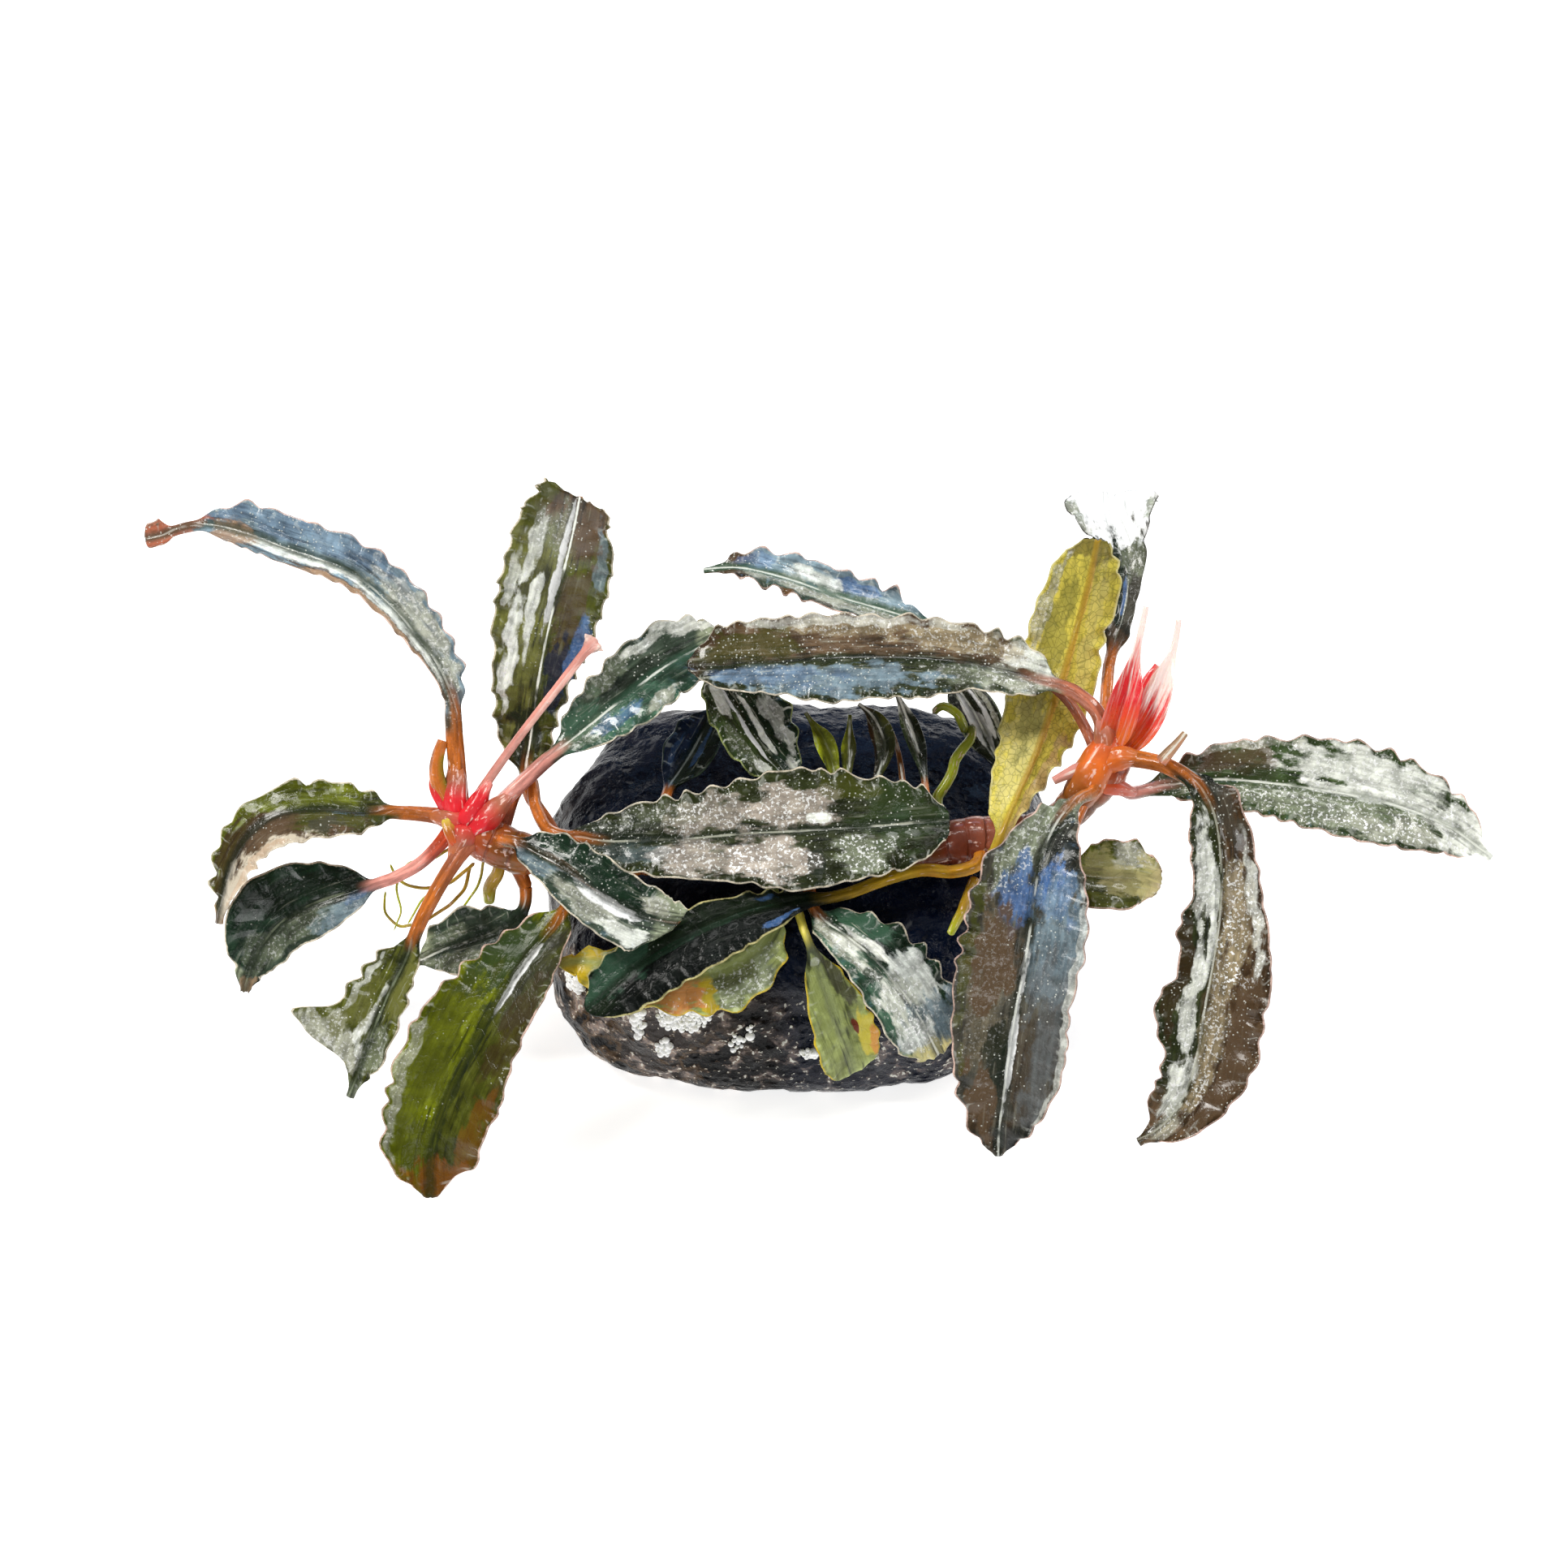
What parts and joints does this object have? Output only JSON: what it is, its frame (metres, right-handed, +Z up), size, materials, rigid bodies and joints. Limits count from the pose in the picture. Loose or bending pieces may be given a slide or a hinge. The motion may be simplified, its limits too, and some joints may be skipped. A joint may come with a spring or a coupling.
{
  "type": "bucephalandra plant on a stone",
  "caption": "Bucephalandra water plant: dark ruffled leaves on orange stalks along a creeping rhizome, rooted on a rounded black stone with a flat underside.",
  "frame": {"origin": "centre of the stone's flat underside", "axes": "+Z up, +X to the right along the rhizome as the plant is seen from the front, +Y to the back"},
  "size_m": [0.1259, 0.061, 0.0509],
  "materials": {
    "stone": "wet, glossy, near black",
    "rhizome": "moist, satin, orange to red",
    "cut_stalk": "moist, pink and translucent",
    "leaf_blue_grey": "wet, glossy, blue-grey",
    "leaf_olive": "wet, glossy, olive",
    "leaf_grey_green": "wet, glossy, grey-green",
    "leaf_dark_green": "wet, glossy, dark green",
    "leaf_silver": "wet, glossy, silvery brown with pale dots",
    "leaf_night_blue": "wet, glossy, near black blue",
    "leaf_brown": "wet, glossy, brown with pale dots",
    "leaf_yellow": "satin, olive-yellow with an orange midrib",
    "leaf_pale_green": "satin, pale green turning yellow",
    "young_orange": "satin, orange",
    "bud_red": "moist, red with translucent tips",
    "root": "moist, yellow-green"
  },
  "bodies": {
    "root": {"stone": "stone", "rhizome": "rhizome", "cut_leaf_stalk": "cut_stalk", "bract_crown_right": "cut_stalk", "leaf_arching_left": "leaf_blue_grey", "leaf_back_centre": "leaf_blue_grey", "leaf_upright": "leaf_olive", "leaf_left_upper": "leaf_olive", "leaf_front_left_large": "leaf_olive", "leaf_right_small": "leaf_olive", "leaf_inner_left": "leaf_grey_green", "leaf_left_drooping": "leaf_grey_green", "leaf_shaded_left": "leaf_grey_green", "leaf_front_centre": "leaf_grey_green", "leaf_back_right": "leaf_grey_green", "leaf_right_long": "leaf_grey_green", "leaf_left_lower": "leaf_dark_green", "leaf_middle_green": "leaf_dark_green", "leaf_narrow_dark": "leaf_dark_green", "leaf_front_long": "leaf_dark_green", "leaf_silver_left": "leaf_silver", "leaf_centre_large": "leaf_silver", "leaf_middle_blue": "leaf_night_blue", "leaf_striped_dark": "leaf_night_blue", "leaf_across_top": "leaf_brown", "leaf_right_drooping": "leaf_brown", "leaf_front_right_large": "leaf_brown", "young_leaf_curved": "leaf_brown", "bract_right": "leaf_brown", "leaf_tall_yellow": "leaf_yellow", "leaf_old_yellow": "leaf_yellow", "young_leaf_yellow_left": "leaf_yellow", "young_leaf_yellow_right": "leaf_yellow", "bract_left": "leaf_yellow", "leaf_front_small": "leaf_pale_green", "young_shoot_orange": "young_orange", "bud_sheath_left": "bud_red", "bud_sheath_right": "bud_red", "bud_core": "bud_red", "root_left_hooked": "root", "root_left_short": "root", "root_left_wandering": "root", "root_middle_green": "root", "root_middle_green_branch": "root", "root_front_yellow": "root"}
  },
  "joints": []
}
